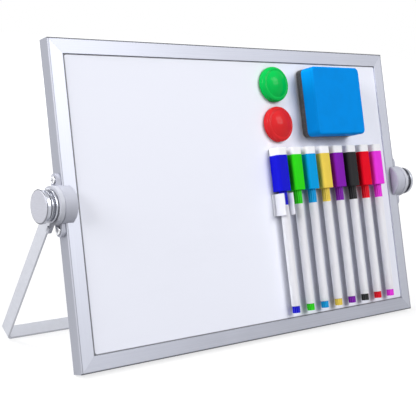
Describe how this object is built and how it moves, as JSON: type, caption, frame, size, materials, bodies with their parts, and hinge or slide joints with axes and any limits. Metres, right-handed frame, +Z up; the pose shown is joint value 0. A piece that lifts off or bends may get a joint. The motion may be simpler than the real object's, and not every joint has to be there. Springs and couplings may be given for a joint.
{
  "type": "magnetic desk whiteboard easel",
  "caption": "Framed double-sided steel whiteboard hung between the legs of a bent bar stand, clamped by screw knobs, with capped markers, round magnets and an eraser on its face.",
  "frame": {"origin": "on the surface that the easel stands on, under the tilt axis and midway between the knobs", "axes": "+X along the tilt axis to the viewer's right, +Y to the back, +Z up"},
  "size_m": [0.3292, 0.0907, 0.1938],
  "materials": {
    "frame_aluminium": "satin anodised",
    "board_enamel": "smooth gloss dry-wipe lacquer on sheet steel",
    "paper_core": "pressed honeycomb board",
    "saddle_grey": "fine matte silver-grey",
    "screw_chrome": "bright plated",
    "insert_brass": "turned",
    "stand_steel": "satin plated flat bar",
    "hub_grey": "smooth silver-grey moulding",
    "knob_chrome": "bright plated, ringed neck",
    "knob_face": "brushed disc",
    "stud_steel": "plated",
    "magnet_green": "gloss",
    "magnet_red": "gloss",
    "ferrite": "dull sintered",
    "eraser_blue": "smooth moulded foam",
    "eraser_charcoal": "dense felt",
    "magnet_strip": "flexible magnet",
    "cap_felt_white": "dense felt",
    "barrel_white": "gloss",
    "clip_white": "gloss",
    "marker_blue": "satin moulded",
    "marker_green": "satin moulded",
    "marker_sky": "satin moulded",
    "marker_yellow": "satin moulded",
    "marker_purple": "satin moulded",
    "marker_black": "satin moulded",
    "marker_red": "satin moulded",
    "marker_magenta": "satin moulded"
  },
  "bodies": {
    "board": {"top_rail": "frame_aluminium", "bottom_rail": "frame_aluminium", "left_rail": "frame_aluminium", "right_rail": "frame_aluminium", "corner_keys": "frame_aluminium", "front_sheet": "board_enamel", "core_board": "paper_core", "rear_sheet": "board_enamel", "left_saddle": "saddle_grey", "right_saddle": "saddle_grey", "saddle_screws": "screw_chrome", "threaded_inserts": "insert_brass"},
    "stand": {"stand_bar": "stand_steel", "leg_hubs": "hub_grey"},
    "left_knob": {"left_knob": "knob_chrome", "left_knob_cap": "knob_face", "left_knob_screw": "stud_steel"},
    "right_knob": {"right_knob": "knob_chrome", "right_knob_cap": "knob_face", "right_knob_screw": "stud_steel"},
    "green_magnet": {"green_magnet_cap": "magnet_green", "green_magnet_disc": "ferrite"},
    "red_magnet": {"red_magnet_cap": "magnet_red", "red_magnet_disc": "ferrite"},
    "eraser": {"eraser_body": "eraser_blue", "eraser_felt": "eraser_charcoal", "eraser_magnet": "magnet_strip"},
    "pen_clip": {"pen_clip": "clip_white"},
    "blue_cap": {"blue_cap": "marker_blue", "blue_cap_felt": "cap_felt_white"},
    "blue_pen": {"blue_barrel": "barrel_white", "blue_neck": "marker_blue"},
    "green_cap": {"green_cap": "marker_green", "green_cap_felt": "cap_felt_white"},
    "green_pen": {"green_barrel": "barrel_white", "green_neck": "marker_green"},
    "sky_cap": {"sky_cap": "marker_sky", "sky_cap_felt": "cap_felt_white"},
    "sky_pen": {"sky_barrel": "barrel_white", "sky_neck": "marker_sky"},
    "yellow_cap": {"yellow_cap": "marker_yellow", "yellow_cap_felt": "cap_felt_white"},
    "yellow_pen": {"yellow_barrel": "barrel_white", "yellow_neck": "marker_yellow"},
    "purple_cap": {"purple_cap": "marker_purple", "purple_cap_felt": "cap_felt_white"},
    "purple_pen": {"purple_barrel": "barrel_white", "purple_neck": "marker_purple"},
    "black_cap": {"black_cap": "marker_black", "black_cap_felt": "cap_felt_white"},
    "black_pen": {"black_barrel": "barrel_white", "black_neck": "marker_black"},
    "red_cap": {"red_cap": "marker_red", "red_cap_felt": "cap_felt_white"},
    "red_pen": {"red_barrel": "barrel_white", "red_neck": "marker_red"},
    "magenta_cap": {"magenta_cap": "marker_magenta", "magenta_cap_felt": "cap_felt_white"},
    "magenta_pen": {"magenta_barrel": "barrel_white", "magenta_neck": "marker_magenta"}
  },
  "joints": [
    {"name": "stand_tilt", "type": "hinge", "parent": "board", "child": "stand", "pos_m": [0, 0, 0.09688], "axis": [1, 0, 0], "continuous": true},
    {"name": "left_knob_turn", "type": "hinge", "parent": "board", "child": "left_knob", "pos_m": [-0.157, 0, 0.09688], "axis": [-1, 0, 0], "range_deg": [0, 360]},
    {"name": "right_knob_turn", "type": "hinge", "parent": "board", "child": "right_knob", "pos_m": [0.157, 0, 0.09688], "axis": [1, 0, 0], "range_deg": [0, 360]},
    {"name": "green_magnet_lift", "type": "slide", "parent": "board", "child": "green_magnet", "axis": [0, -0.9563, 0.2924], "range_m": [0, 0.04]},
    {"name": "red_magnet_lift", "type": "slide", "parent": "board", "child": "red_magnet", "axis": [0, -0.9563, 0.2924], "range_m": [0, 0.04]},
    {"name": "eraser_lift", "type": "slide", "parent": "board", "child": "eraser", "axis": [0, -0.9563, 0.2924], "range_m": [0, 0.04]},
    {"name": "pen_clip_slide", "type": "slide", "parent": "blue_pen", "child": "pen_clip", "axis": [0, -0.2924, -0.9563], "range_m": [0, 0.04]},
    {"name": "blue_marker_lift", "type": "slide", "parent": "board", "child": "blue_cap", "axis": [0, -0.9563, 0.2924], "range_m": [0, 0.03]},
    {"name": "blue_pen_pull", "type": "slide", "parent": "blue_cap", "child": "blue_pen", "axis": [0, -0.2924, -0.9563], "range_m": [0, 0.016]},
    {"name": "green_marker_lift", "type": "slide", "parent": "board", "child": "green_cap", "axis": [0, -0.9563, 0.2924], "range_m": [0, 0.03]},
    {"name": "green_pen_pull", "type": "slide", "parent": "green_cap", "child": "green_pen", "axis": [0, -0.2924, -0.9563], "range_m": [0, 0.016]},
    {"name": "sky_marker_lift", "type": "slide", "parent": "board", "child": "sky_cap", "axis": [0, -0.9563, 0.2924], "range_m": [0, 0.03]},
    {"name": "sky_pen_pull", "type": "slide", "parent": "sky_cap", "child": "sky_pen", "axis": [0, -0.2924, -0.9563], "range_m": [0, 0.016]},
    {"name": "yellow_marker_lift", "type": "slide", "parent": "board", "child": "yellow_cap", "axis": [0, -0.9563, 0.2924], "range_m": [0, 0.03]},
    {"name": "yellow_pen_pull", "type": "slide", "parent": "yellow_cap", "child": "yellow_pen", "axis": [0, -0.2924, -0.9563], "range_m": [0, 0.016]},
    {"name": "purple_marker_lift", "type": "slide", "parent": "board", "child": "purple_cap", "axis": [0, -0.9563, 0.2924], "range_m": [0, 0.03]},
    {"name": "purple_pen_pull", "type": "slide", "parent": "purple_cap", "child": "purple_pen", "axis": [0, -0.2924, -0.9563], "range_m": [0, 0.016]},
    {"name": "black_marker_lift", "type": "slide", "parent": "board", "child": "black_cap", "axis": [0, -0.9563, 0.2924], "range_m": [0, 0.03]},
    {"name": "black_pen_pull", "type": "slide", "parent": "black_cap", "child": "black_pen", "axis": [0, -0.2924, -0.9563], "range_m": [0, 0.016]},
    {"name": "red_marker_lift", "type": "slide", "parent": "board", "child": "red_cap", "axis": [0, -0.9563, 0.2924], "range_m": [0, 0.03]},
    {"name": "red_pen_pull", "type": "slide", "parent": "red_cap", "child": "red_pen", "axis": [0, -0.2924, -0.9563], "range_m": [0, 0.016]},
    {"name": "magenta_marker_lift", "type": "slide", "parent": "board", "child": "magenta_cap", "axis": [0, -0.9563, 0.2924], "range_m": [0, 0.03]},
    {"name": "magenta_pen_pull", "type": "slide", "parent": "magenta_cap", "child": "magenta_pen", "axis": [0, -0.2924, -0.9563], "range_m": [0, 0.016]}
  ]
}
